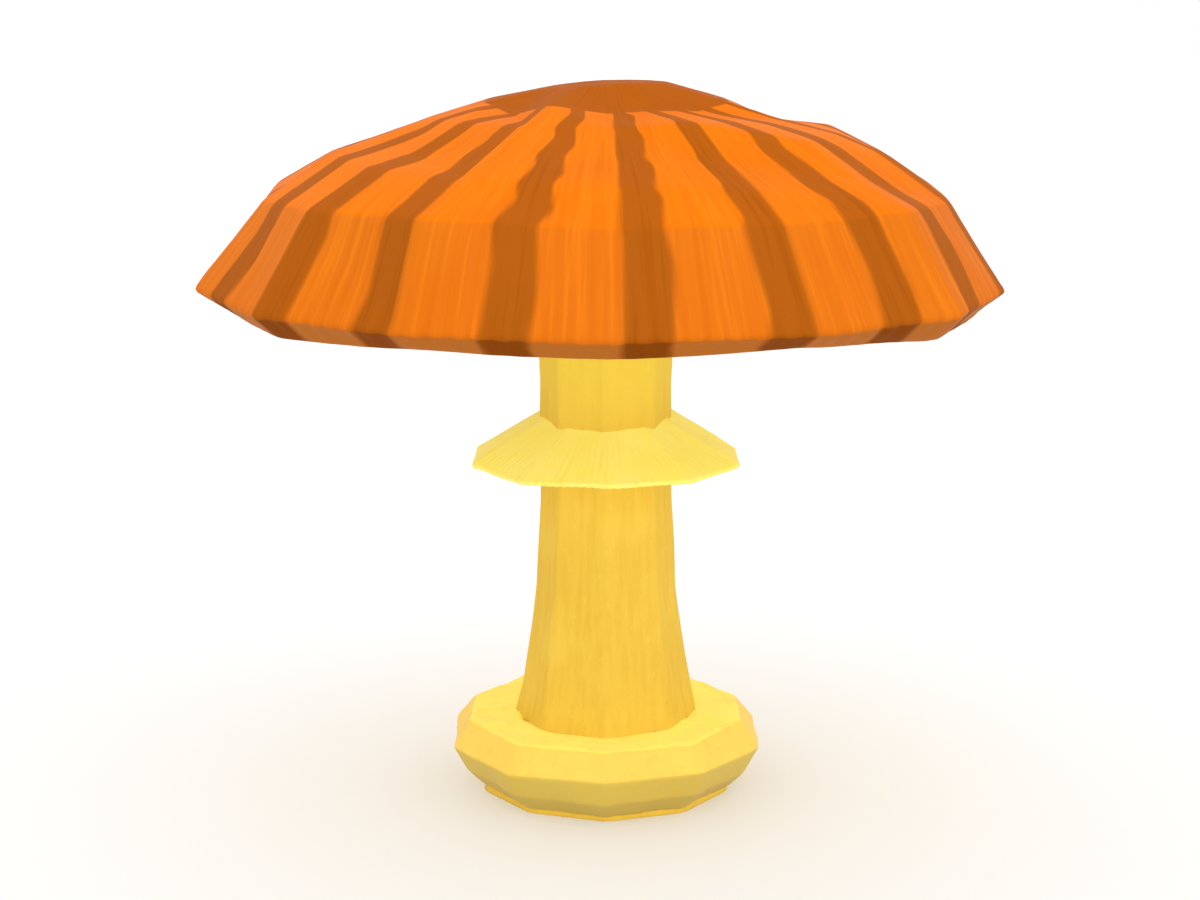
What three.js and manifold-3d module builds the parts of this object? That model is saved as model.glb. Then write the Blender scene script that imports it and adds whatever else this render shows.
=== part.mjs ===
// A Caesar's mushroom, picked and standing on its cut foot: cap, gills, stem, ring and volva.
// Millimetres, +Z up. The origin is the middle of the foot's flat underside, and the front faces -Y.
import * as THREE from 'three';
import { mergeVertices } from 'three/addons/utils/BufferGeometryUtils.js';
import Module from 'manifold-3d';

// Clearance kept between pieces that touch on the real mushroom
const GAP = 0.35;

// Cap: rows of facets from the crown down, each with its radius and height at the front and at the sides
const CAP_SIDES = 14;
const CAP_APEX_Z = 124.5;
const CAP_ROWS = {
  hump: { frontR: 10, sideR: 10.4, frontZ: 124.2, sideZ: 123.9 },
  crown: { frontR: 20, sideR: 20.6, frontZ: 120.4, sideZ: 121.5 },
  valley: { frontR: 30, sideR: 30.6, frontZ: 118.4, sideZ: 118.5 },
  shoulder: { frontR: 40, sideR: 41, frontZ: 114.5, sideZ: 116.8 },
  haunch: { frontR: 50.5, sideR: 47.3, frontZ: 111, sideZ: 113.2 },
  brow: { frontR: 60.3, sideR: 58.6, frontZ: 105.6, sideZ: 105.3 },
  rim: { frontR: 70, sideR: 70, frontZ: 90.2, sideZ: 90.4 },
  lip: { frontR: 66, sideR: 66, frontZ: 87.2, sideZ: 87.4 },
};
const CROWN_TILT = 0.5;

// Lumps and hollows of the cap: the row and column that one sits on, and how far it stands out and up
const CAP_LUMPS = [
  { row: 'crown', column: -2, out: -0.8, up: -1.4 },
  { row: 'crown', column: -1, out: 1, up: 1.1 },
  { row: 'crown', column: 1, out: -2.4, up: -0.3 },
  { row: 'crown', column: 2, out: -2, up: -0.8 },
  { row: 'valley', column: 1, out: 2.2, up: 0.8 },
  { row: 'valley', column: 4, out: -1.1, up: -0.7 },
  { row: 'shoulder', column: -4, out: -1, up: -1.6 },
  { row: 'shoulder', column: -3, out: -1, up: -1.5 },
  { row: 'shoulder', column: -2, out: -1, up: -1.6 },
  { row: 'shoulder', column: 1, out: 1.2, up: -1 },
  { row: 'shoulder', column: 3, out: -0.5, up: -0.6 },
  { row: 'shoulder', column: 4, out: -1, up: -0.2 },
  { row: 'haunch', column: -4, out: 2, up: -1.2 },
  { row: 'haunch', column: 1, out: 2, up: -1.2 },
  { row: 'haunch', column: 2, out: 1.8, up: -1.9 },
  { row: 'haunch', column: 4, out: 2, up: -1.2 },
  { row: 'haunch', column: 6, out: -1.2, up: -1 },
  { row: 'brow', column: -4, out: 0.9, up: 1 },
  { row: 'brow', column: -2, out: 0.4, up: 0.6 },
  { row: 'brow', column: -1, out: 2.4, up: 1.1 },
  { row: 'brow', column: 2, out: 1.4, up: 0.6 },
  { row: 'brow', column: 4, out: 0.5, up: 0.3 },
  { row: 'brow', column: 5, out: 1.5, up: 0.8 },
  { row: 'rim', column: -3, out: 0.3, up: 0.4 },
  { row: 'rim', column: 3, out: -1.8, up: -0.2 },
  { row: 'lip', column: -3, out: 0.2, up: 0.6 },
  { row: 'lip', column: -2, out: -0.2, up: -1 },
  { row: 'lip', column: -1, out: 0.3, up: 0.3 },
  { row: 'lip', column: 1, out: 0, up: 0.7 },
  { row: 'lip', column: 2, out: 0, up: -1.1 },
  { row: 'lip', column: 3, out: -1.1, up: 0.2 },
];

// Underside of the cap's flesh: where the dish turns, from the mouth up to the stem.
// Its cut starts some way below the lip, so that the mouth is open.
const DISH_SIDES = 48;
const DISH_CUT_BELOW_LIP = 5;
const DISH = {
  mouth: { r: 62.8, z: 87.2 },
  edge: { r: 62.6, z: 90 },
  bend: { r: 59.2, z: 96 },
  slope: { r: 46, z: 102 },
  top: { r: 13, z: 105.6 },
};

// Gills: upright blades round the stem, every second one short and cut off steeply. Each long and short one
// stand at these shares of the way from one edge of the dish's facets to the next.
const GILL_PAIRS = DISH_SIDES;
const LONG_GILL_PLACE = 0.25;
const SHORT_GILL_PLACE = 0.75;
const GILL_THICKNESS = 0.8;
const GILL_SHEET = 0.65;
const GILL_HOLE_R = 13.4;
const ROOT_START = 0.2;
const LONG_GILL_EDGE = [[61, 88.7], [48, 86.6], [30, 87.8], [18, 92.5], [14.6, 98.5]];
const SHORT_GILL_EDGE = [[61, 88.7], [52, 87.6], [41, 88.8], [38.4, 93]];
const SHORT_GILL_END_R = 37.6;

// Stem: radius and height of each ring of corners from the cap down, the shaft's first and then the foot's
const SHAFT_SIDES = 8;
const SHAFT_RINGS = [[12.4, DISH.top.z - GAP], [11.75, 75.3], [11.5, 72.6], [11.55, 52], [12.15, 36.1],
  [15, 17.7], [16.1, 13.1], [17.5, 6]];
const FOOT_SIDES = 10;
const FOOT_RINGS = [[14, 12], [19.3, 5.4], [22.4, 1.4], [23.3, 0]];

// Ring: a thin skirt round the upper stem, thicker at the neck, with its inside inset a little at the hem.
// Its neck, and the hem a little, are higher at the back, and climb there between two angles from the front.
const SKIRT_SIDES = 10;
const SKIRT_CLIMB = { from: THREE.MathUtils.degToRad(54), to: THREE.MathUtils.degToRad(144) };
const SKIRT = {
  topR: 10,
  topZ: 66.6,
  topRise: 2.6,
  hemR: 24.3,
  hemZ: 59.3,
  hemRise: 0.4,
  neckThickness: 1.35,
  hemThickness: 0.8,
  hemInset: 0.3,
};

// Volva: a thick collar round the foot
const VOLVA_SIDES = 10;
const VOLVA_RINGS = [[25.3, 13.3], [28.4, 8.7], [25.8, 4.1], [23.3, 1]];

const COLOURS = {
  cap: { color: 0xf2842a, roughness: 0.5 },
  gills: { color: 0xf2c84b, roughness: 0.7 },
  stem: { color: 0xf4c94a, roughness: 0.7 },
  ring: { color: 0xffe368, roughness: 0.7 },
  volva: { color: 0xffdf66, roughness: 0.75 },
};

// Points closer than this are one corner
const SAME_POINT = 1e-4;

const wasm = await Module();
wasm.setup();

// Corner of a ring of facets: angle 0 is the front, and angles grow to the right
function corner(radius, angle, z) {
  return new THREE.Vector3(radius * Math.sin(angle), -radius * Math.cos(angle), z);
}

// Ring of corners that may be higher at the back, as the skirt is
function regularRing([radius, z, rise = 0], sides) {
  return Array.from({ length: sides }, (_, i) => {
    const angle = (2 * Math.PI * i) / sides;
    const fromFront = Math.PI - Math.abs(Math.PI - angle);
    const climb = THREE.MathUtils.smoothstep(fromFront, SKIRT_CLIMB.from, SKIRT_CLIMB.to);
    return corner(radius, angle, z + rise * climb);
  });
}

// Closed solid over rings of corners from the top down, with a point on the axis at each end.
// Each four-sided field is split from its upper left corner to its lower right one.
function facetedSolid(rings, topZ, bottomZ) {
  const sides = rings[0].length;
  const points = [...rings.flat(), new THREE.Vector3(0, 0, topZ), new THREE.Vector3(0, 0, bottomZ)];
  const top = points.length - 2;
  const bottom = points.length - 1;
  const lastRing = (rings.length - 1) * sides;
  const faces = [];
  for (let i = 0; i < sides; i++) {
    const next = (i + 1) % sides;
    faces.push(top, i, next, bottom, lastRing + next, lastRing + i);
    for (let upper = 0; upper < lastRing; upper += sides) {
      const lower = upper + sides;
      faces.push(upper + i, lower + i, lower + next, upper + i, lower + next, upper + next);
    }
  }
  const geometry = new THREE.BufferGeometry().setFromPoints(points);
  geometry.setIndex(faces);
  return toSolid(geometry);
}

function toSolid(geometry) {
  geometry.deleteAttribute('normal');
  geometry.deleteAttribute('uv');
  const merged = mergeVertices(geometry, SAME_POINT);
  return new wasm.Manifold(new wasm.Mesh({
    numProp: 3,
    vertProperties: new Float32Array(merged.attributes.position.array),
    triVerts: new Uint32Array(merged.index.array),
  }));
}

function toMesh(name, solid) {
  const { numProp, vertProperties, triVerts } = solid.getMesh();
  const geometry = new THREE.BufferGeometry();
  geometry.setAttribute('position', new THREE.BufferAttribute(vertProperties, numProp));
  geometry.setIndex(new THREE.BufferAttribute(triVerts, 1));
  geometry.computeVertexNormals();
  const material = new THREE.MeshStandardMaterial({ ...COLOURS[name], metalness: 0, flatShading: true });
  const mesh = new THREE.Mesh(geometry, material);
  mesh.name = name;
  return mesh;
}

// Turned solid from a profile of [radius, z] points that starts and ends on the axis, from the bottom up
function turnedSolid(profile, sides) {
  const points = profile.map(([r, z]) => new THREE.Vector2(r, z));
  return toSolid(new THREE.LatheGeometry(points, sides).rotateX(Math.PI / 2));
}

// One row of the cap's corners: its radius and height pass smoothly from the front values to the side ones
function capRing(name) {
  const row = CAP_ROWS[name];
  return Array.from({ length: CAP_SIDES }, (_, i) => {
    const angle = (2 * Math.PI * i) / CAP_SIDES;
    const side = Math.sin(angle) ** 2;
    const lump = CAP_LUMPS.find((l) => l.row === name && (l.column + CAP_SIDES) % CAP_SIDES === i);
    const radius = THREE.MathUtils.lerp(row.frontR, row.sideR, side) + (lump?.out ?? 0);
    const tilt = name === 'hump' ? CROWN_TILT * Math.sin(angle) : 0;
    const z = THREE.MathUtils.lerp(row.frontZ, row.sideZ, side) + (lump?.up ?? 0) + tilt;
    return corner(radius, angle, z);
  });
}

// The dish's profile moved in and down by a distance, which leaves at least that much between the two
function dishProfile(offset, ...places) {
  return places.map((place) => [DISH[place].r - offset, DISH[place].z - offset]);
}

function cap() {
  const outside = facetedSolid(Object.keys(CAP_ROWS).map(capRing), CAP_APEX_Z, CAP_ROWS.lip.sideZ);
  const below = CAP_ROWS.lip.frontZ - DISH_CUT_BELOW_LIP;
  const dish = turnedSolid([
    [0, below],
    [DISH.mouth.r, below],
    ...dishProfile(0, 'mouth', 'edge', 'bend', 'slope', 'top'),
    [0, DISH.top.z],
  ], DISH_SIDES);
  return outside.subtract(dish);
}

// One blade: its lower edge runs in from the rim, and its upper edge lies inside the sheet it grows from
function gillBlade(lowerEdge, upperEdge) {
  const outline = [...lowerEdge, ...upperEdge].map(([r, z]) => new THREE.Vector2(r, z));
  const blade = new THREE.ExtrudeGeometry(new THREE.Shape(outline), {
    depth: GILL_THICKNESS,
    bevelEnabled: false,
  });
  return blade.translate(0, 0, -GILL_THICKNESS / 2).rotateX(Math.PI / 2);
}

// Height of the gill sheet between the slope and the stem, at an offset below the dish
function sheetZ(radius, offset) {
  const [[slopeR, slopeZ], [topR, topZ]] = dishProfile(offset, 'slope', 'top');
  return THREE.MathUtils.mapLinear(radius, slopeR, topR, slopeZ, topZ);
}

function gills() {
  const holeBottom = [GILL_HOLE_R, sheetZ(GILL_HOLE_R, GAP + GILL_SHEET)];
  const sheet = turnedSolid([
    holeBottom,
    ...dishProfile(GAP + GILL_SHEET, 'slope', 'bend', 'edge'),
    ...dishProfile(GAP, 'edge', 'bend', 'slope'),
    [GILL_HOLE_R, sheetZ(GILL_HOLE_R, GAP)],
    holeBottom,
  ], DISH_SIDES);
  const middle = GAP + GILL_SHEET / 2;
  const [edge, bend, slope] = dishProfile(middle, 'edge', 'bend', 'slope');
  const outerRoot = edge.map((value, i) => THREE.MathUtils.lerp(value, bend[i], ROOT_START));
  const root = [slope, bend, outerRoot];
  const longEnd = LONG_GILL_EDGE.at(-1)[0];
  const long = gillBlade(LONG_GILL_EDGE, [[longEnd, sheetZ(longEnd, middle)], ...root]);
  const short = gillBlade(SHORT_GILL_EDGE, [[SHORT_GILL_END_R, sheetZ(SHORT_GILL_END_R, middle)], ...root]);
  const step = (2 * Math.PI) / GILL_PAIRS;
  let solid = sheet;
  for (let i = 0; i < GILL_PAIRS; i++) {
    solid = solid.add(toSolid(long.clone().rotateZ((i + LONG_GILL_PLACE) * step)));
    solid = solid.add(toSolid(short.clone().rotateZ((i + SHORT_GILL_PLACE) * step)));
  }
  return solid;
}

// The stem's solid, or the same form grown by a clearance to cut its place in a neighbour
function stem(clearance = 0) {
  const column = (profile, sides) => {
    const rings = profile.map(([r, z]) => regularRing([r + clearance, z], sides));
    return facetedSolid(rings, profile[0][1], profile.at(-1)[1]);
  };
  return column(SHAFT_RINGS, SHAFT_SIDES).add(column(FOOT_RINGS, FOOT_SIDES));
}

function ring() {
  const { topR, topZ, topRise, hemR, hemZ, hemRise, neckThickness, hemThickness, hemInset } = SKIRT;
  const innerZ = topZ - neckThickness;
  const profile = [
    [topR, topZ, topRise],
    [hemR, hemZ, hemRise],
    [hemR - hemInset, hemZ - hemThickness, hemRise],
    [topR, innerZ, topRise],
  ];
  const rings = profile.map((place) => regularRing(place, SKIRT_SIDES));
  const skirt = facetedSolid(rings, topZ + topRise / 2, innerZ + topRise / 2);
  return skirt.subtract(stem(GAP));
}

function volva() {
  const rings = VOLVA_RINGS.map((r) => regularRing(r, VOLVA_SIDES));
  const collar = facetedSolid(rings, VOLVA_RINGS[0][1], VOLVA_RINGS.at(-1)[1]);
  return collar.subtract(stem(GAP));
}

const mushroom = new THREE.Group();
mushroom.name = 'caesars_mushroom';
mushroom.add(toMesh('cap', cap()));
mushroom.add(toMesh('gills', gills()));
mushroom.add(toMesh('stem', stem()));
mushroom.add(toMesh('ring', ring()));
mushroom.add(toMesh('volva', volva()));

export default mushroom;
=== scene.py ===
import bpy
import numpy as np
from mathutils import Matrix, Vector


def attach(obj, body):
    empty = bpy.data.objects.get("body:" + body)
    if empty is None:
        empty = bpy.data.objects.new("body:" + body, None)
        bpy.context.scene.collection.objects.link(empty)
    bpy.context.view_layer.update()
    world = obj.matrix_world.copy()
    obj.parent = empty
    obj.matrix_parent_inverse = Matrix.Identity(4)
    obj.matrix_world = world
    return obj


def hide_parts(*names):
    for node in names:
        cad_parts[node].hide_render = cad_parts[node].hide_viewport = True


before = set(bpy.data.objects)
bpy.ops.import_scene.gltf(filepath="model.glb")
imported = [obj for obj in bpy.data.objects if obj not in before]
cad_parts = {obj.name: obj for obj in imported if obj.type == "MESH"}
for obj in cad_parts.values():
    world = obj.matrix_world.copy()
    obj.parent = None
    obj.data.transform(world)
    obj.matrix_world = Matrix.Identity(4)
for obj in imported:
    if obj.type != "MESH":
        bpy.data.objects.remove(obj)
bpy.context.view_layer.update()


# Stem: one solid of golden flesh. An eight-sided shaft runs up into the cap, and spreads at the bottom into
# a ten-sided foot that was cut level when it was picked. The skin is fibrous along the shaft, the cut pale.
MM = 0.001
SHAFT_SIDES = 8
# Radius and height of each row of corners from the cap down, the shaft's and then the foot's
SHAFT = np.array([
    (12.4, 105.3), (11.75, 75.3), (11.55, 72.6), (11.7, 52), (12.4, 36.1), (15.2, 17.7), (16.3, 13.1),
    (17.5, 6), (17.5, 0),
]) * MM
FOOT_SIDES = 10
FOOT = np.array([(2, 14), (14, 12), (19.3, 5.4), (22.1, 1.4), (22.7, 0)]) * MM
STEM_COLUMNS = 320
STEM_ROW = 0.6 * MM
# Shares of the cut face's radius at which it has a ring of points
CUT_RINGS = (0.985, 0.8, 0.5, 0.2)
FIBRE_WIDTH = 2.2 * MM
FIBRE_STRETCH = (1, 1, 14)
FIBRE_HEIGHT = 0.05 * MM
SWELLING_WIDTH = 26 * MM
SWELLING_HEIGHT = 0.12 * MM
# Scales of a noise are in clouds to a metre. A tint is where it starts and is full, and then its most.
STREAK_SCALE = (900, 900, 45)
STREAK_TINT = (0.4, 0.68, 0.55)
STEM_CLOUD_SCALE = 70
STEM_CLOUD_TINT = (0.45, 0.7, 0.45)
FLECK_SCALE = 900
FLECK_STRETCH = (1, 1, 0.45)
FLECK_TINT = (0.6, 0.72, 0.3)
STEM_PORE_SCALE = 2600
# Painted light: the stem is made paler from the first height to the second, against the cap's shadow there
NECK_LIGHT_TINT = (60 * MM, 78 * MM, 0.75)
PITH_TINT = (9 * MM, 4 * MM, 0.7)
PITH_WANDER = 6 * MM
CRUMB_SCALE = 1100
CRUMB_TINT = (0.5, 0.65, 0.35)
CUT_EDGE = (0.12 * MM, 0.04 * MM)
# Least roughness and how much the clouds add; the relief's depth and the shares of it that come from each
STEM_ROUGH = 0.55
STEM_ROUGHER = 0.2
STEM_RELIEF = 0.12 * MM
STREAK_RELIEF = 0.8
STEM_PORE_RELIEF = 0.25
STEM_GOLD = (230, 190, 69)
STEM_STREAK = (222, 178, 58)
STEM_PALE = (240, 203, 84)
STEM_NECK_PAINTED_LIGHT = (249, 219, 80)
CUT_FLESH = (250, 238, 196)
CUT_CORE = (232, 212, 158)


def polygon_radius(radius, sides, angle):
    """Distance from the axis to a polygon's side at an angle from the front, where it has its first corner.

    It is the corner radius times cos(half a step), over the cosine of the angle from the side's middle.
    """
    step = 2 * np.pi / sides
    return radius * np.cos(step / 2) / np.cos(angle % step - step / 2)


def turned(radius, angle, height):
    """Points at a radius, at an angle from the front, and at a height: (r sin a, -r cos a, z)."""
    return np.stack(np.broadcast_arrays(radius * np.sin(angle), -radius * np.cos(angle), height), axis=-1)


def soften(points, around, along, loop=False):
    """Rounds the edges between flats. Each pass moves a point halfway to the mean of its two neighbours.

    The passes around go between the columns, which close on each other, and those along go between the rows,
    whose ends stay where they are unless the rows close on each other too.
    """
    points = points.copy()
    for _ in range(around):
        points += (np.roll(points, 1, 1) + np.roll(points, -1, 1) - 2 * points) / 4
    for _ in range(along):
        change = (np.roll(points, 1, 0) + np.roll(points, -1, 0) - 2 * points) / 4
        if not loop:
            change[[0, -1]] = 0
        points += change
    return points


def outward(points):
    """Unit normals of a grid of rows from the top down: the way down crossed with the way to the right."""
    right = np.roll(points, -1, 1) - np.roll(points, 1, 1)
    normal = np.cross(np.gradient(points, axis=0), right)
    return normal / np.maximum(np.linalg.norm(normal, axis=-1, keepdims=True), 1e-12)


def ripple(points, wavelength, seed, stretch=(1, 1, 1)):
    """Gentle unevenness of about -1 to 1: the sum of sine waves that run in seeded directions.

    The points are first divided by the stretch, so a large stretch along an axis draws the waves out on it.
    """
    waves = 32
    shortest, longest = 1.5, 0.6
    draw = np.random.default_rng(seed)
    direction = draw.normal(size=(waves, 3))
    direction *= 2 * np.pi / (wavelength * np.linalg.norm(direction, axis=1, keepdims=True))
    direction *= draw.uniform(longest, shortest, (waves, 1))
    phase = draw.uniform(0, 2 * np.pi, waves)
    return np.sin(points / np.array(stretch) @ direction.T + phase).sum(axis=-1) / np.sqrt(waves)


def piece_from(name, vertices, faces, shares):
    """Mesh object from vertices, arrays of faces and, for each corner of each face, its UV on the skin."""
    loops = np.concatenate([part.ravel() for part in faces])
    sizes = np.concatenate([np.full(len(part), part.shape[1]) for part in faces])
    corners = np.concatenate([part.reshape(-1, 2) for part in shares])
    mesh = bpy.data.meshes.new(name)
    mesh.vertices.add(len(vertices))
    mesh.vertices.foreach_set("co", np.asarray(vertices, np.float32).ravel())
    mesh.loops.add(len(loops))
    mesh.loops.foreach_set("vertex_index", loops.astype(np.int32))
    mesh.polygons.add(len(sizes))
    mesh.polygons.foreach_set("loop_start", (np.cumsum(sizes) - sizes).astype(np.int32))
    mesh.update(calc_edges=True)
    skin = mesh.uv_layers.new(name="skin")
    skin.data.foreach_set("uv", corners.astype(np.float32).ravel())
    mesh.shade_smooth()
    piece = bpy.data.objects.new(name, mesh)
    bpy.context.scene.collection.objects.link(piece)
    return piece


def wrap(name, points, loop=False, row_share=None):
    """Closed piece over a grid of rows from the top down, each of which goes once round the axis.

    The first and last rows are closed by a point in their middle, or on each other if the rows form a loop.
    U goes round from 0 to 1, and V is each row's own share, or goes evenly down from 0 to 1.
    """
    rows, columns = points.shape[:2]
    number = np.arange(rows * columns).reshape(rows, columns)
    v = np.linspace(0, 1, rows) if row_share is None else np.asarray(row_share, float)
    if loop:
        number = np.vstack([number, number[:1]])
        v = np.linspace(0, 1, rows + 1)
    right = np.roll(number, -1, axis=1)
    quads = np.stack([number[:-1], number[1:], right[1:], right[:-1]], axis=-1)
    u0 = np.broadcast_to(np.arange(columns) / columns, quads.shape[:2])
    u1 = u0 + 1 / columns
    v0 = np.broadcast_to(v[:-1, None], u0.shape)
    v1 = np.broadcast_to(v[1:, None], u0.shape)
    shares = [np.stack([np.stack([u0, u0, u1, u1], -1), np.stack([v0, v1, v1, v0], -1)], -1)]
    faces = [quads.reshape(-1, 4)]
    vertices = points.reshape(-1, 3)
    if not loop:
        top = len(vertices)
        vertices = np.concatenate([vertices, points[[0, -1]].mean(axis=1)])
        u, u_right = u0[0], u1[0]
        for pole, first, second, share, a, b in (
            (top, number[0], right[0], v[0], u, u_right),
            (top + 1, right[-1], number[-1], v[-1], u_right, u),
        ):
            faces.append(np.stack([np.full(columns, pole), first, second], axis=-1))
            across = np.stack([(a + b) / 2, a, b], -1)
            shares.append(np.stack([across, np.full_like(across, share)], -1))
    return piece_from(name, vertices, faces, shares)


class Wire:
    """A socket of a material's nodes. Arithmetic on wires and numbers adds the Math nodes for it."""

    def __init__(self, tree, socket=None):
        self.tree = tree
        self.socket = socket

    def node(self, kind, settings, inputs, output=0):
        """Adds a node with its settings, fills its inputs with wires or values, and gives an output."""
        made = self.tree.nodes.new("ShaderNode" + kind)
        for setting, value in settings.items():
            setattr(made, setting, value)
        for key, value in inputs.items():
            if isinstance(value, Wire):
                self.tree.links.new(value.socket, made.inputs[key])
            else:
                made.inputs[key].default_value = value
        return Wire(self.tree, made.outputs[output])

    def maths(self, operation, *values):
        """The result of a Math node on values or wires."""
        return self.node("Math", {"operation": operation}, dict(enumerate(values)))

    def __add__(self, other):
        return self.maths("ADD", self, other)

    __radd__ = __add__

    def __sub__(self, other):
        return self.maths("SUBTRACT", self, other)

    def __rsub__(self, other):
        return self.maths("SUBTRACT", other, self)

    def __mul__(self, other):
        return self.maths("MULTIPLY", self, other)

    __rmul__ = __mul__

    def __truediv__(self, other):
        return self.maths("DIVIDE", self, other)

    def __mod__(self, other):
        return self.maths("FLOORED_MODULO", self, other)

    def __abs__(self):
        return self.maths("ABSOLUTE", self)

    def rise(self, start, end):
        """0 up to start, 1 from end on, a smooth step between them; with start over end it falls instead."""
        limits = {"Value": self, "From Min": start, "From Max": end}
        return self.node("MapRange", {"interpolation_type": "SMOOTHSTEP"}, limits)

    def tint(self, start, end, most):
        """A share that rises by a smooth step from 0 at start to its most at end."""
        return self.rise(start, end) * most


def light_of(colour):
    """A colour of 0 to 255 as the picture shows it, as linear light with full alpha."""
    share = np.array(colour) / 255
    linear = np.where(share > 0.04045, ((share + 0.055) / 1.055) ** 2.4, share / 12.92)
    return (*linear.tolist(), 1.0)


def mix(share, first, second):
    """First colour where the share is 0, second where it is 1; a colour is a wire or 0 to 255 values."""
    colours = [c if isinstance(c, Wire) else light_of(c) for c in (first, second)]
    return share.node("Mix", {"data_type": "RGBA"}, {0: share, 6: colours[0], 7: colours[1]}, output=2)


def noise(place, scale, detail=3, roughness=0.5):
    """Cloudy noise of 0 to 1 at a place."""
    values = {"Vector": place, "Scale": scale, "Detail": detail, "Roughness": roughness}
    return place.node("TexNoise", {}, values)


def scaled(place, scale):
    """A place with its three coordinates multiplied by a scale each."""
    return place.node("Mapping", {}, {"Vector": place, "Scale": scale})


def coordinate(vector, axis):
    """The X, Y or Z of a vector."""
    return vector.node("SeparateXYZ", {}, {"Vector": vector}, output=axis)


def flesh(name, sheen=0.0, gloss=0.05):
    """A new material of soft mushroom flesh, and the place on the object that its nodes read."""
    material = bpy.data.materials.new(name)
    material.use_nodes = True
    tree = material.node_tree
    shader = tree.nodes["Principled BSDF"]
    shader.inputs["Specular IOR Level"].default_value = gloss
    shader.inputs["Sheen Weight"].default_value = sheen
    return material, Wire(tree).node("TexCoord", {}, {}, output="Object")


def dress(piece, material, colour, roughness, height, depth):
    """Feeds a material with a colour, a roughness and a bump of some depth, and puts it on a piece."""
    links = material.node_tree.links
    shader = material.node_tree.nodes["Principled BSDF"]
    links.new(colour.socket, shader.inputs["Base Color"])
    links.new(roughness.socket, shader.inputs["Roughness"])
    bump = height.node("Bump", {}, {"Strength": 1.0, "Distance": depth, "Height": height})
    links.new(bump.socket, shader.inputs["Normal"])
    piece.data.materials.append(material)


stem_height = np.arange(SHAFT[0, 1], 0, -STEM_ROW)[:, None]
stem_height = np.append(stem_height, [[0.0]], axis=0)
stem_angle = 2 * np.pi * np.arange(STEM_COLUMNS) / STEM_COLUMNS
shaft_radius = np.interp(stem_height, SHAFT[::-1, 1], SHAFT[::-1, 0])
foot_radius = np.interp(stem_height, FOOT[::-1, 1], FOOT[::-1, 0], right=0)
stem_radius = np.maximum(
    polygon_radius(shaft_radius, SHAFT_SIDES, stem_angle), polygon_radius(foot_radius, FOOT_SIDES, stem_angle)
)
stem_points = soften(turned(stem_radius, stem_angle, stem_height), around=10, along=2)
fibres = ripple(stem_points, FIBRE_WIDTH, seed=3, stretch=FIBRE_STRETCH)
swellings = ripple(stem_points, SWELLING_WIDTH, seed=4)
stem_lift = FIBRE_HEIGHT * fibres + SWELLING_HEIGHT * swellings
stem_lift[-1] = 0
stem_points[:, :, :2] += (outward(stem_points) * stem_lift[..., None])[:, :, :2]
cut_points = stem_points[-1] * np.array(CUT_RINGS)[:, None, None]
stem = wrap("stem_flesh", np.concatenate([stem_points, cut_points]))
material, place = flesh("stem_skin")
streaks = noise(scaled(place, STREAK_SCALE), 1.0, detail=4)
clouds = noise(place, STEM_CLOUD_SCALE, detail=2)
flecks = noise(scaled(place, FLECK_STRETCH), FLECK_SCALE, detail=2).tint(*FLECK_TINT)
pores = noise(place, STEM_PORE_SCALE, detail=2)
height_up = coordinate(place, "Z")
from_axis = place.node("VectorMath", {"operation": "LENGTH"}, {0: scaled(place, (1, 1, 0))}, output="Value")
pith = from_axis + (clouds - 0.5) * PITH_WANDER
cut = mix(pith.tint(*PITH_TINT), CUT_FLESH, CUT_CORE)
cut = mix(noise(place, CRUMB_SCALE).tint(*CRUMB_TINT), cut, CUT_CORE)
gold = mix(streaks.tint(*STREAK_TINT), STEM_GOLD, STEM_STREAK)
gold = mix(clouds.tint(*STEM_CLOUD_TINT), gold, STEM_PALE)
gold = mix(flecks, gold, STEM_PALE)
# Painted light up the neck, where the cap shades the stem
gold = mix(height_up.tint(*NECK_LIGHT_TINT), gold, STEM_NECK_PAINTED_LIGHT)
gold = mix(height_up.rise(*CUT_EDGE), gold, cut)
relief = streaks * STREAK_RELIEF + flecks + pores * STEM_PORE_RELIEF
dress(stem, material, gold, clouds * STEM_ROUGHER + STEM_ROUGH, relief, STEM_RELIEF)
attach(stem, "root")
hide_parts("stem")


# Volva: the thick collar left round the foot where the young mushroom broke out of its veil. It is one soft,
# leathery skin folded down on itself in ten broad flats, and it hugs the stem all the way round.
VOLVA_SIDES = 10
# Radius and height of each row of corners, from the stem out over the top, down the flank and back under
VOLVA = np.array([
    (15.2, 12.6), (16.4, 13.1), (25.3, 13.3), (28.4, 8.7), (25.8, 4.1), (22.6, 0.7), (20.4, 0.9), (17.2, 6.5),
]) * MM
# The rows where its top ends, where it is widest and where its flank turns under
VOLVA_TOP_ROW, VOLVA_WIDEST_ROW, VOLVA_LOW_ROW = 2, 3, 4
VOLVA_STEPS = (4, 18, 12, 12, 8, 5, 10, 12)
VOLVA_ACROSS = 36
VOLVA_UNEVEN = 0.35 * MM
VOLVA_LOWEST = 0.3 * MM
CREASE_WIDTH = 7 * MM
CREASE_STRETCH = (1, 1, 2.5)
CREASE_HEIGHT = 0.1 * MM
DIMPLE_WIDTH = 3 * MM
DIMPLE_HEIGHT = 0.03 * MM
VOLVA_CLOUD_SCALE = 90
VOLVA_CLOUD_TINT = (0.4, 0.65, 0.12)
WRINKLE_SCALE = 480
WRINKLE_STRETCH = (1, 1, 0.4)
WRINKLE_TINT = (0.5, 0.72, 0.25)
VOLVA_PORE_SCALE = 2200
# How soft the colours' edges are, as a share of the way over the skin
VOLVA_BLUR = 0.01
VOLVA_ROUGH = 0.55
VOLVA_ROUGHER = 0.2
VOLVA_RELIEF = 0.14 * MM
WRINKLE_RELIEF = 0.8
VOLVA_PORE_RELIEF = 0.2
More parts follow.
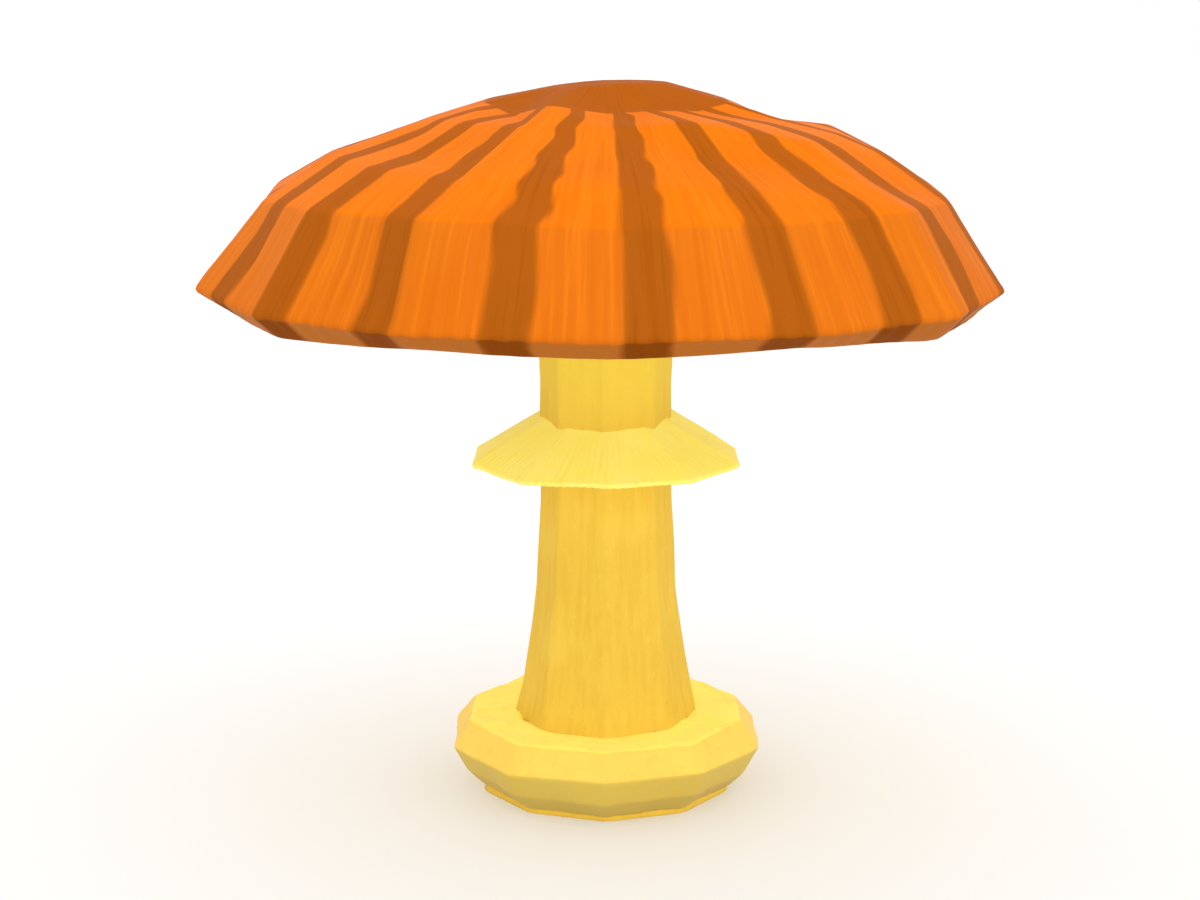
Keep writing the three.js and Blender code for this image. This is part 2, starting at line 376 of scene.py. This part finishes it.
# Painted light and shade by row: palest on the top, a little darker on the flank, darker on the flats that
# face down
VOLVA_TOP = (255, 240, 108)
VOLVA_FLANK = (250, 208, 92)
VOLVA_LOWER_SHADED = (215, 186, 83)
VOLVA_FOOT_SHADED = (203, 176, 80)
VOLVA_DEEP = (226, 180, 70)


def corner_rows(profile, sides, uneven=0.0, seed=0):
    """Rows of a polygon's corners for a profile of radius and height, each moved by a small seeded amount."""
    radius, height = np.asarray(profile).T
    angle = 2 * np.pi * np.arange(sides) / sides
    corners = turned(radius[:, None], angle, height[:, None])
    return corners + np.random.default_rng(seed).uniform(-uneven, uneven, corners.shape)


def flats(corners, across, down):
    """Fine grid over rows of corners, with some steps across each side and down each row.

    Every field between four corners is split from its upper left corner to its lower right one. At a share s
    to the right and t down, its point is UL + t (LL - UL) + s (LR - LL) below the split, where t is over s,
    and UL + s (UR - UL) + t (LR - UR) above it.
    """
    sides = corners.shape[1]
    row = np.append(np.repeat(np.arange(len(down)), down), len(down) - 1)
    t = np.append(np.concatenate([np.arange(n) / n for n in down]), 1.0)[:, None, None]
    column = np.repeat(np.arange(sides), across)
    s = np.tile(np.arange(across) / across, sides)[None, :, None]
    upper_left = corners[row][:, column]
    upper_right = corners[row][:, (column + 1) % sides]
    lower_left = corners[row + 1][:, column]
    lower_right = corners[row + 1][:, (column + 1) % sides]
    below = upper_left + t * (lower_left - upper_left) + s * (lower_right - lower_left)
    above = upper_left + s * (upper_right - upper_left) + t * (lower_right - upper_right)
    return np.where(t >= s, below, above)


def closed_flats(corners, across, down):
    """Fine grid over rows of corners whose last row goes on into the first."""
    return flats(np.concatenate([corners, corners[:1]]), across, down)[:-1]


def skin_share(place, axis):
    """How far round its skin, X, or down it, Y, each place of a piece is, as its UV map has it."""
    return coordinate(place.node("UVMap", {"uv_map": "skin"}, {}), axis)


volva_corners = corner_rows(VOLVA, VOLVA_SIDES, VOLVA_UNEVEN, seed=11)
volva_points = closed_flats(volva_corners, VOLVA_ACROSS, VOLVA_STEPS)
volva_points = soften(volva_points, around=3, along=2, loop=True)
creases = ripple(volva_points, CREASE_WIDTH, seed=12, stretch=CREASE_STRETCH)
dimples = ripple(volva_points, DIMPLE_WIDTH, seed=13)
volva_lift = CREASE_HEIGHT * creases + DIMPLE_HEIGHT * dimples
volva_points += outward(volva_points) * volva_lift[..., None]
volva_points[:, :, 2] = np.maximum(volva_points[:, :, 2], VOLVA_LOWEST)
volva = wrap("volva_collar", volva_points, loop=True)
material, place = flesh("volva_skin", sheen=0.1)
clouds = noise(place, VOLVA_CLOUD_SCALE, detail=4)
wrinkles = noise(scaled(place, WRINKLE_STRETCH), WRINKLE_SCALE, detail=5, roughness=0.6)
pores = noise(place, VOLVA_PORE_SCALE, detail=2)
down = skin_share(place, "Y")
# The colour steps down the rows as painted light and shade, lightest on top and darkest on the lower flats
# and foot
cream_and_shade = VOLVA_TOP
for volva_row, colour_below in (
    (VOLVA_TOP_ROW, VOLVA_FLANK), (VOLVA_WIDEST_ROW, VOLVA_LOWER_SHADED), (VOLVA_LOW_ROW, VOLVA_FOOT_SHADED)
):
    edge = sum(VOLVA_STEPS[:volva_row]) / sum(VOLVA_STEPS)
    cream_and_shade = mix(down.rise(edge - VOLVA_BLUR, edge + VOLVA_BLUR), cream_and_shade, colour_below)
cream_and_shade = mix(wrinkles.tint(*WRINKLE_TINT) + clouds.tint(*VOLVA_CLOUD_TINT), cream_and_shade, VOLVA_DEEP)
relief = wrinkles * WRINKLE_RELIEF + pores * VOLVA_PORE_RELIEF
dress(volva, material, cream_and_shade, clouds * VOLVA_ROUGHER + VOLVA_ROUGH, relief, VOLVA_RELIEF)
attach(volva, "root")
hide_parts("volva")


# Ring: the thin skirt that hangs from the upper stem, a rest of the veil that covered the young gills. It is
# one soft sheet in ten flats, with fine grooves down its upper side where the gills once pressed on it.
RING_SIDES = 10
# Radius and height of each row of corners: the neck and the hem above, then the hem and the neck below
RING = np.array([(10.6, 66.3), (24.4, 59.2), (24.2, 58.5), (10.6, 65)]) * MM
# How much higher each row is at the back, and between which angles from the front it climbs there
RING_RISE = np.array([2.6, 0.4, 0.4, 2.6]) * MM
RING_CLIMB = np.radians([54, 144])
RING_STEPS = (44, 4, 36, 4)
RING_ACROSS = 72
RING_UNEVEN = 0.18 * MM
RING_GROOVES = 110
GROOVE_HEIGHT = 0.05 * MM
# How far the grooves stray from straight, as an angle of their wave, and over what length
GROOVE_STRAY = 1.5
GROOVE_STRAY_WIDTH = 9 * MM
SAG_WIDTH = 14 * MM
SAG_HEIGHT = 0.16 * MM
# Fine lines down the skirt: how many to a turn, and how long as a share of the way over it
RING_LINES = 2.2 * RING_GROOVES
RING_LINE_LENGTH = 0.3
RING_LINE_TINT = (0.52, 0.7, 0.4)
RING_CLOUD_SCALE = 120
RING_CLOUD_TINT = (0.4, 0.68, 0.5)
WEAVE_SCALE = 1700
RING_ROUGH = 0.55
RING_ROUGHER = 0.2
RING_RELIEF = 0.1 * MM
RING_LINE_RELIEF = 0.9
WEAVE_RELIEF = 0.25
RING_YELLOW = (255, 243, 112)
RING_DEEP = (250, 226, 94)
RING_PALE = (255, 246, 140)


def combed(place, down, lines, length, detail=4):
    """Cloudy noise of 0 to 1 in lines that run down a piece: so many to a turn round the axis, and so long.

    It is read at the way out from the axis as a point on a circle, lines / 2 pi across its middle, lifted by
    the share down the piece over the length, so that it has no seam where a turn closes.
    """
    way = place.node("VectorMath", {"operation": "NORMALIZE"}, {0: scaled(place, (1, 1, 0))})
    circle = scaled(way, (lines / (2 * np.pi), lines / (2 * np.pi), 1))
    lifted = place.node("CombineXYZ", {}, {"Z": down / length})
    return noise(place.node("VectorMath", {"operation": "ADD"}, {0: circle, 1: lifted}), 1.0, detail)


ring_corners = corner_rows(RING, RING_SIDES, RING_UNEVEN, seed=21)
from_front = np.pi - abs(np.pi - 2 * np.pi * np.arange(RING_SIDES) / RING_SIDES)
# The climb is a smooth step of the angle from the front
climb = np.clip((from_front - RING_CLIMB[0]) / (RING_CLIMB[1] - RING_CLIMB[0]), 0, 1)
ring_corners[..., 2] += RING_RISE[:, None] * climb ** 2 * (3 - 2 * climb)
ring_points = closed_flats(ring_corners, RING_ACROSS, RING_STEPS)
ring_points = soften(ring_points, around=4, along=1, loop=True)
ring_angle = np.arctan2(ring_points[..., 0], -ring_points[..., 1])
ring_radius = np.hypot(ring_points[..., 0], ring_points[..., 1])
toward_hem = np.clip((ring_radius - RING[0, 0]) / (RING[1, 0] - RING[0, 0]), 0, 1)
stray = GROOVE_STRAY * ripple(ring_points, GROOVE_STRAY_WIDTH, seed=22)
grooves = np.sin(RING_GROOVES * ring_angle + stray)
sag = ripple(ring_points, SAG_WIDTH, seed=23)
ring_points[..., 2] += (GROOVE_HEIGHT * grooves + SAG_HEIGHT * sag) * toward_hem
ring = wrap("ring_skirt", ring_points, loop=True)
material, place = flesh("ring_skin", sheen=0.15)
clouds = noise(place, RING_CLOUD_SCALE)
lines = combed(place, skin_share(place, "Y"), RING_LINES, RING_LINE_LENGTH, detail=3)
weave = noise(place, WEAVE_SCALE)
yellow = mix(clouds.tint(*RING_CLOUD_TINT), RING_YELLOW, RING_PALE)
yellow = mix(lines.tint(*RING_LINE_TINT), yellow, RING_DEEP)
relief = lines * RING_LINE_RELIEF + weave * WEAVE_RELIEF
dress(ring, material, yellow, clouds * RING_ROUGHER + RING_ROUGH, relief, RING_RELIEF)
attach(ring, "root")
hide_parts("ring")


# Cap: one dished body of flesh under a thin, slightly greasy orange skin. It has fourteen columns of flats
# round it, with a dark crown on a low hump, dark bands down to the rim and an in-turned lip.
CAP_SIDES = 14
# Radius and height of each row of corners, at the front and then at the sides
CAP_FRONT = np.array([
    (2, 124.5), (10, 124.2), (20, 120.4), (30, 118.4), (40, 114.5), (50.5, 111), (60.3, 105.6), (70.15, 90.2),
    (66, 87.2),
]) * MM
CAP_FLANK = np.array([
    (2, 124.5), (10.4, 123.9), (20.6, 121.5), (30.6, 118.5), (41, 116.8), (47.3, 113.2), (58.6, 105.3),
    (70.15, 90.4), (66, 87.4),
]) * MM
HUMP, CROWN, VALLEY, SHOULDER, HAUNCH, BROW, RIM, LIP = range(1, 9)
CROWN_TILT = 0.5 * MM
# Lumps and hollows: (row, column) and how far the corner there stands out and up, in millimetres
CAP_LUMPS = {
    (CROWN, -2): (-0.8, -1.4),
    (CROWN, -1): (1, 1.1),
    (CROWN, 1): (-2.4, -0.3),
    (CROWN, 2): (-2, -0.8),
    (VALLEY, 1): (2.2, 0.8),
    (VALLEY, 4): (-1.1, -0.7),
    (SHOULDER, -4): (-1, -1.6),
    (SHOULDER, -3): (-1, -1.5),
    (SHOULDER, -2): (-1, -1.6),
    (SHOULDER, 1): (1.2, -1),
    (SHOULDER, 3): (-0.5, -0.6),
    (SHOULDER, 4): (-1, -0.2),
    (HAUNCH, -4): (2, -1.2),
    (HAUNCH, 1): (2, -1.2),
    (HAUNCH, 2): (1.8, -1.9),
    (HAUNCH, 4): (2, -1.2),
    (HAUNCH, 6): (-1.2, -1),
    (BROW, -4): (0.9, 1),
    (BROW, -2): (0.4, 0.6),
    (BROW, -1): (2.4, 1.1),
    (BROW, 2): (1.4, 0.6),
    (BROW, 4): (0.5, 0.3),
    (BROW, 5): (1.5, 0.8),
    (RIM, -3): (0.3, 0.4),
    (RIM, 3): (-1.8, -0.2),
    (LIP, -3): (0.2, 0.6),
    (LIP, -2): (-0.2, -1),
    (LIP, -1): (0.3, 0.3),
    (LIP, 1): (0, 0.7),
    (LIP, 2): (0, -1.1),
    (LIP, 3): (-1.1, 0.2),
}
CAP_STEPS = (8, 12, 12, 12, 12, 14, 22, 8)
CAP_ACROSS = 40
# Radius and height of the flesh's underside, from the mouth inside the lip up to the stem
DISH = np.array([(64.2, 86.9), (62.9, 87.4), (62.6, 90), (59.2, 96), (46, 102), (13, 105.6), (2, 105.6)]) * MM
DISH_STEPS = (2, 3, 4, 5, 6, 2)
# Over how many of its rows the dish comes level again from the lip's ups and downs
DISH_LEVEL_ROWS = 2
# Fine grooves at the rim, as on the real species: how many, the rows where they start and end, and how far
# they stray from straight, as an angle of their wave, and over what length
STRIAE = 112
STRIAE_START = 6.2
STRIAE_END = LIP + 0.5
STRIAE_DEPTH = 0.1 * MM
STRIAE_STRAY = 1.2
STRIAE_STRAY_WIDTH = 16 * MM
WAVE_WIDTH = 24 * MM
WAVE_HEIGHT = 0.12 * MM
# The least share of the waves' height, which the crown's tip has
WAVE_LEAST = 0.1
GRAIN_WIDTH = 4 * MM
GRAIN_HEIGHT = 0.02 * MM
# How far the skin lies under the flats, so that its waves hardly stand past them
SKIN_SINK = 0.12 * MM
# Fine lines down the skin: how many to a turn, and how many rows long
CAP_FIBRILS = 420
CAP_FIBRIL_ROWS = 1.6
# The bands, in columns: their pitch, the first one's middle, half a band's width, how soft its edges are at
# the crown and at the rim, and how far they wander
BAND_PITCH = 0.7
BAND_FIRST = 0.2
BAND_HALF = 0.125
BAND_EDGE_CROWN = 0.008
BAND_EDGE_RIM = 0.03
BAND_WANDER = 0.03
# The dark crown's edge, how far it wanders, and how soft it and the brow's are, in rows
CROWN_EDGE = 2.07
CROWN_WANDER = 0.12
ROW_BLUR = 0.03
# The rows over which the lip's colours and the underside's set in
LIP_START = (RIM + 0.05, RIM + 0.2)
UNDER_START = (LIP + 0.6, LIP + 1.4)
CAP_CLOUD_SCALE = 42
CAP_CLOUD_TINT = (0.4, 0.65, 0.3)
CAP_GRAIN_SCALE = 1500
CAP_BRIGHT_TINT = (0.5, 0.7, 0.3)
CAP_FIBRE_TINT = (0.5, 0.3, 0.25)
# Painted shade: how much darker the skin and the bands get down in the rim's grooves
CAP_GROOVE_SHADE = 0.16
BAND_FIBRE_TINT = (0.5, 0.3, 0.4)
BAND_GROOVE_SHADE = 0.25
# Least roughness, and what the grain and the dark parts add
CAP_ROUGH = 0.4
GRAIN_ROUGHER = 0.12
DARK_ROUGHER = 0.06
CAP_RELIEF = 0.1 * MM
FIBRIL_RELIEF = 0.7
GRAIN_RELIEF = 0.3
CAP_CLOUD_RELIEF = 0.4
CAP_ORANGE = (231, 117, 9)
# Painted shade: the flats below the brow have a darker orange and a darker band, as light from above leaves
# them dimmer
CAP_LOW_SHADED = (215, 112, 22)
CAP_CLOUD = (212, 100, 10)
CAP_FIBRE = (200, 92, 8)
CAP_BRIGHT = (244, 134, 24)
CAP_BAND = (174, 88, 13)
CAP_BAND_LOW_SHADED = (168, 87, 16)
CAP_BAND_FIBRE_AND_SHADE = (150, 72, 4)
# Painted shade: the lip's tan and its bands are darker and duller than the flats, as the down-facing lip is
# shaded
LIP_TAN_SHADED = (182, 105, 38)
LIP_BAND_SHADED = (135, 66, 6)
UNDER_YELLOW = (238, 200, 96)


def row_places(steps):
    """Where each fine row lies, counted in rows of corners, with a number of steps from each to the next."""
    return np.append(np.concatenate([i + np.arange(n) / n for i, n in enumerate(steps)]), len(steps))


cap_angle = 2 * np.pi * np.arange(CAP_SIDES) / CAP_SIDES
toward_side = np.sin(cap_angle) ** 2
cap_rows = CAP_FRONT[:, None] + (CAP_FLANK - CAP_FRONT)[:, None] * toward_side[None, :, None]
cap_rows[HUMP, :, 1] += CROWN_TILT * np.sin(cap_angle)
for corner, (out, up) in CAP_LUMPS.items():
    cap_rows[corner] += np.array([out, up]) * MM
cap_corners = turned(cap_rows[..., 0], cap_angle, cap_rows[..., 1])
cap_top = flats(cap_corners, CAP_ACROSS, CAP_STEPS)
mouth_angle = np.arctan2(cap_top[-1, :, 0], -cap_top[-1, :, 1])
dish_row = row_places(DISH_STEPS)
dish_radius = np.interp(dish_row, np.arange(len(DISH)), DISH[:, 0])
dish_height = np.interp(dish_row, np.arange(len(DISH)), DISH[:, 1])
lip_above = cap_top[-1, :, 2] - CAP_FLANK[LIP, 1]
from_level = np.clip(1 - dish_row / DISH_LEVEL_ROWS, 0, 1)
cap_under = turned(
    dish_radius[:, None], mouth_angle, dish_height[:, None] + lip_above * from_level[:, None]
)
cap_points = soften(np.concatenate([cap_top, cap_under]), around=3, along=1)
cap_row = np.concatenate([row_places(CAP_STEPS), LIP + 1 + dish_row])
last_row = LIP + 1 + len(DISH_STEPS)
waves = ripple(cap_points, WAVE_WIDTH, seed=31)
skin_grain = ripple(cap_points, GRAIN_WIDTH, seed=32)
round_cap = np.arctan2(cap_points[..., 0], -cap_points[..., 1])
toward_rim = np.clip((cap_row - STRIAE_START) / (RIM - STRIAE_START), 0, 1)
toward_rim *= np.clip(STRIAE_END - cap_row, 0, 1)
stray = STRIAE_STRAY * ripple(cap_points, STRIAE_STRAY_WIDTH, seed=33)
striae = np.sin(STRIAE * round_cap + stray) * toward_rim[:, None] ** 2
from_tip = np.clip(cap_row / CROWN, WAVE_LEAST, 1)[:, None]
cap_lift = WAVE_HEIGHT * waves * from_tip + GRAIN_HEIGHT * skin_grain + STRIAE_DEPTH * striae - SKIN_SINK
cap_points += outward(cap_points) * cap_lift[..., None]
cap = wrap("cap_body", cap_points, row_share=cap_row / last_row)
# How deep in a groove each point lies, from 0 to 1, and 0 for the two points that close the top and the dish;
# it paints shade in the grooves
groove_depth = np.append(np.clip(-striae, 0, 1), [0, 0])
cap.data.attributes.new("groove", "FLOAT", "POINT").data.foreach_set("value", groove_depth.astype(np.float32))
material, place = flesh("cap_skin", gloss=0.01)
column = skin_share(place, "X") * CAP_SIDES
row = skin_share(place, "Y") * last_row
groove = place.node("Attribute", {"attribute_name": "groove"}, {}, output="Fac")
fibrils = combed(place, row, CAP_FIBRILS, CAP_FIBRIL_ROWS)
clouds = noise(place, CAP_CLOUD_SCALE)
grain = noise(place, CAP_GRAIN_SCALE)
from_middle = abs(((column - BAND_FIRST) / BAND_PITCH + 0.5) % 1 - 0.5) * BAND_PITCH
from_band = from_middle + (fibrils - 0.5) * BAND_WANDER
edge = row / RIM * (BAND_EDGE_RIM - BAND_EDGE_CROWN) + BAND_EDGE_CROWN
band = (BAND_HALF - from_band).rise(edge * -1, edge)
crown = (CROWN_EDGE - row + (clouds - 0.5) * CROWN_WANDER).rise(-ROW_BLUR, ROW_BLUR)
dark = band.maths("MAXIMUM", band, crown)
# Painted shade on the flats below the brow
below_brow_shade = row.rise(BROW - ROW_BLUR, BROW + ROW_BLUR)
orange = mix(clouds.tint(*CAP_CLOUD_TINT), mix(below_brow_shade, CAP_ORANGE, CAP_LOW_SHADED), CAP_CLOUD)
orange = mix(fibrils.tint(*CAP_BRIGHT_TINT), orange, CAP_BRIGHT)
# Darker fibrils are the skin's own lines; darker grooves are painted shade
orange = mix(fibrils.tint(*CAP_FIBRE_TINT) + groove * CAP_GROOVE_SHADE, orange, CAP_FIBRE)
brown = mix(below_brow_shade, CAP_BAND, CAP_BAND_LOW_SHADED)
brown = mix(fibrils.tint(*BAND_FIBRE_TINT) + groove * BAND_GROOVE_SHADE, brown, CAP_BAND_FIBRE_AND_SHADE)
skin = mix(dark, orange, brown)
# Painted shade on the in-turned lip
skin = mix(row.rise(*LIP_START), skin, mix(band, LIP_TAN_SHADED, LIP_BAND_SHADED))
skin = mix(row.rise(*UNDER_START), skin, UNDER_YELLOW)
relief = fibrils * FIBRIL_RELIEF + grain * GRAIN_RELIEF + clouds * CAP_CLOUD_RELIEF
dress(cap, material, skin, grain * GRAIN_ROUGHER + dark * DARK_ROUGHER + CAP_ROUGH, relief, CAP_RELIEF)
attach(cap, "root")
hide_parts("cap")


# Gills: thin upright blades of soft flesh that hang from the cap's underside, crowded like a book's pages.
# Long ones reach in almost to the stem, and between each two a short one is cut off steeply part of the way.
GILL_COUNT = 120
# Radius and height of the blades' roots in the flesh, and of the lower edges of long and short ones
GILL_ROOT = np.array([(61.4, 90.8), (58.6, 95.5), (45.4, 101.6), (14, 105)]) * MM
LONG_EDGE = np.array([(61.4, 88.9), (54, 87.2), (42, 86.6), (30, 88), (20, 92), (14.8, 99)]) * MM
SHORT_EDGE = np.array([(61.4, 88.9), (54, 87.6), (44, 87.8), (39, 90.5), (37.4, 96)]) * MM
GILL_ALONG = 30
GILL_DOWN = 6
# Thickness at the root and at the edge, the share of it left at both ends, and how steeply it is lost there
GILL_THICK = 0.6 * MM
GILL_THIN = 0.28 * MM
GILL_END = 0.12
GILL_TAPER = 12
# A blade's sway, its fewest and most turns, and where it starts and how fast it grows, in shares of the rim's
# radius
GILL_WAVE = 0.28 * MM
GILL_TURNS = (1.5, 3.5)
GILL_STILL = 0.2
GILL_LOOSENING = 1.4
# How far a blade stands off its even place, the least share of the full depth, and its edge's raggedness
GILL_STRAY = 0.1
GILL_SHALLOWEST = 0.94
GILL_FRINGE = 0.12 * MM
GILL_CLOUD_SCALE = 110
GILL_CLOUD_TINT = (0.4, 0.7, 0.5)
GILL_VEIN_SCALE = 900
GILL_VEIN_STRETCH = (1, 1, 0.3)
GILL_EDGE_TINT = (0.8, 1.0, 0.7)
GILL_ROUGH = 0.55
GILL_ROUGHER = 0.15
GILL_RELIEF = 0.08 * MM
GILL_CLOUD_RELIEF = 0.3
GILL_GOLD = (240, 200, 92)
GILL_DEEP = (224, 172, 62)
GILL_EDGE = (248, 224, 140)


def gill_blades(edge, first_angle, seed):
    """Blades hung at even angles: vertices, faces and UV.

    At a share a along the blade, from the rim inwards, and d down it, the point is at the radius r(a) and at
    the height root(r) + d (edge(r) - root(r)). It stands off the blade's middle by half a thickness that
    falls from the root to the edge and at both ends, and the middle sways by a sine that grows downwards.
    """
    draw = np.random.default_rng(seed)
    along = np.linspace(0, 1, GILL_ALONG)
    down = np.linspace(0, 1, GILL_DOWN)
    radius = edge[0, 0] + (edge[-1, 0] - edge[0, 0]) * along
    root = np.interp(radius, GILL_ROOT[::-1, 0], GILL_ROOT[::-1, 1])
    low = np.interp(radius, edge[::-1, 0], edge[::-1, 1])
    step = 2 * np.pi / GILL_COUNT
    angle = first_angle + step * (np.arange(GILL_COUNT) + draw.uniform(-GILL_STRAY, GILL_STRAY, GILL_COUNT))
    depth = draw.uniform(GILL_SHALLOWEST, 1.0, GILL_COUNT)[:, None, None] * down
    fringe = draw.uniform(0.0, GILL_FRINGE, (GILL_COUNT, GILL_ALONG))
    height = root[None, :, None] + depth * (low - root)[None, :, None]
    height[..., -1] += fringe
    phase = draw.uniform(0, 2 * np.pi, (GILL_COUNT, 1, 1))
    turns = draw.uniform(*GILL_TURNS, (GILL_COUNT, 1, 1))
    sway = GILL_WAVE * np.sin(2 * np.pi * turns * along[None, :, None] + phase) * down
    sway = sway * np.clip((radius / edge[0, 0] - GILL_STILL) * GILL_LOOSENING, 0, 1)[None, :, None]
    taper = np.sqrt(np.clip(np.minimum(along, 1 - along) * GILL_TAPER, 0, 1))[None, :, None]
    half = (GILL_THICK + (GILL_THIN - GILL_THICK) * down) * (GILL_END + (1 - GILL_END) * taper) / 2
    turn = angle[:, None, None]
    reach = radius[None, :, None]
    sides = []
    for hand in (-1, 1):
        off = sway + hand * half
        x = reach * np.sin(turn) + off * np.cos(turn)
        y = off * np.sin(turn) - reach * np.cos(turn)
        sides.append(np.stack(np.broadcast_arrays(x, y, height), axis=-1))
    vertices = np.stack(sides, axis=1).reshape(-1, 3)
    number = np.arange(len(vertices)).reshape(GILL_COUNT, 2, GILL_ALONG, GILL_DOWN)
    left, right = number[:, 0], number[:, 1]
    section = np.concatenate([left, right[..., ::-1]], axis=-1)
    following = np.roll(section, -1, axis=-1)
    walls = np.stack([section[:, :-1], section[:, 1:], following[:, 1:], following[:, :-1]], axis=-1)
    rim_end = np.stack([left[:, 0, :-1], left[:, 0, 1:], right[:, 0, 1:], right[:, 0, :-1]], axis=-1)
    stem_end = np.stack([left[:, -1, 1:], left[:, -1, :-1], right[:, -1, :-1], right[:, -1, 1:]], axis=-1)
    faces = np.concatenate([part.reshape(-1, 4) for part in (walls, rim_end, stem_end)])
    along_share = np.broadcast_to(along[None, None, :, None], number.shape).ravel()
    down_share = np.broadcast_to(down[None, None, None, :], number.shape).ravel()
    return vertices, faces, np.stack([along_share, down_share], axis=-1)[faces]


half_step = np.pi / GILL_COUNT
long_vertices, long_faces, long_share = gill_blades(LONG_EDGE, 0.0, seed=41)
short_vertices, short_faces, short_share = gill_blades(SHORT_EDGE, half_step, seed=42)
gills = piece_from(
    "gill_blades",
    np.concatenate([long_vertices, short_vertices]),
    [long_faces, short_faces + len(long_vertices)],
    [long_share, short_share],
)
material, place = flesh("gill_skin", sheen=0.1)
clouds = noise(place, GILL_CLOUD_SCALE)
veins = noise(scaled(place, GILL_VEIN_STRETCH), GILL_VEIN_SCALE)
golden = mix(clouds.tint(*GILL_CLOUD_TINT), GILL_GOLD, GILL_DEEP)
golden = mix(skin_share(place, "Y").tint(*GILL_EDGE_TINT), golden, GILL_EDGE)
relief = veins + clouds * GILL_CLOUD_RELIEF
dress(gills, material, golden, clouds * GILL_ROUGHER + GILL_ROUGH, relief, GILL_RELIEF)
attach(gills, "root")
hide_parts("gills")


# Floor, light and camera: a plain pale floor under soft, even light from all round, with a broad fill from
# above the front. The camera stands at the picture's angle and looks at the stem, just over its middle.
FLOOR_SIZE = 6.0
FLOOR_CLOUD_SCALE = 3.0
FLOOR_CLOUD_EDGES = (0.3, 0.7)
FLOOR_PATCH_SCALE = 40.0
FLOOR_GRAIN_SCALE = 300.0
FLOOR_ROUGH = 0.6
FLOOR_ROUGHER = 0.1
FLOOR_RELIEF = 0.02 * MM
FLOOR_PALE = (240, 240, 240)
FLOOR_DUSTY = (236, 236, 236)
WORLD_WHITE = (1, 1, 1, 1)
WORLD_LIGHT = 1.0
FILL_STRENGTH = 1.1
FILL_SPREAD = 60
# Degrees round from the front to the right, and above the floor
FILL_AZIMUTH = 12
FILL_ELEVATION = 48
CAMERA_SIDE = -0.00105
CAMERA_DISTANCE = 0.3958
CAMERA_HEIGHT = 0.1412
CAMERA_NEAREST = 0.01
AIM_HEIGHT = 0.06035
LENS = 69.08

bpy.ops.mesh.primitive_plane_add(size=FLOOR_SIZE)
floor = bpy.context.object
floor.name = "floor"
material, place = flesh("floor_paint")
paint = mix(noise(place, FLOOR_CLOUD_SCALE, detail=2).rise(*FLOOR_CLOUD_EDGES), FLOOR_PALE, FLOOR_DUSTY)
dull = noise(place, FLOOR_PATCH_SCALE) * FLOOR_ROUGHER + FLOOR_ROUGH
dress(floor, material, paint, dull, noise(place, FLOOR_GRAIN_SCALE), FLOOR_RELIEF)

world = bpy.data.worlds.new("studio")
world.use_nodes = True
world.node_tree.nodes["Background"].inputs["Color"].default_value = WORLD_WHITE
world.node_tree.nodes["Background"].inputs["Strength"].default_value = WORLD_LIGHT
bpy.context.scene.world = world

fill = bpy.data.lights.new("fill", "SUN")
fill.energy = FILL_STRENGTH
fill.angle = np.radians(FILL_SPREAD)
fill.use_shadow = False
fill_holder = bpy.data.objects.new("fill", fill)
bpy.context.scene.collection.objects.link(fill_holder)
fill_holder.rotation_euler = (np.radians(90 - FILL_ELEVATION), 0, np.radians(FILL_AZIMUTH))

lens = bpy.data.cameras.new("camera")
lens.lens = LENS
lens.clip_start = CAMERA_NEAREST
camera = bpy.data.objects.new("camera", lens)
bpy.context.scene.collection.objects.link(camera)
camera.location = (CAMERA_SIDE, -CAMERA_DISTANCE, CAMERA_HEIGHT)
aim = Vector((CAMERA_SIDE, 0, AIM_HEIGHT))
camera.rotation_euler = (aim - camera.location).to_track_quat("-Z", "Y").to_euler()
bpy.context.scene.camera = camera
bpy.context.scene.view_settings.view_transform = "Standard"
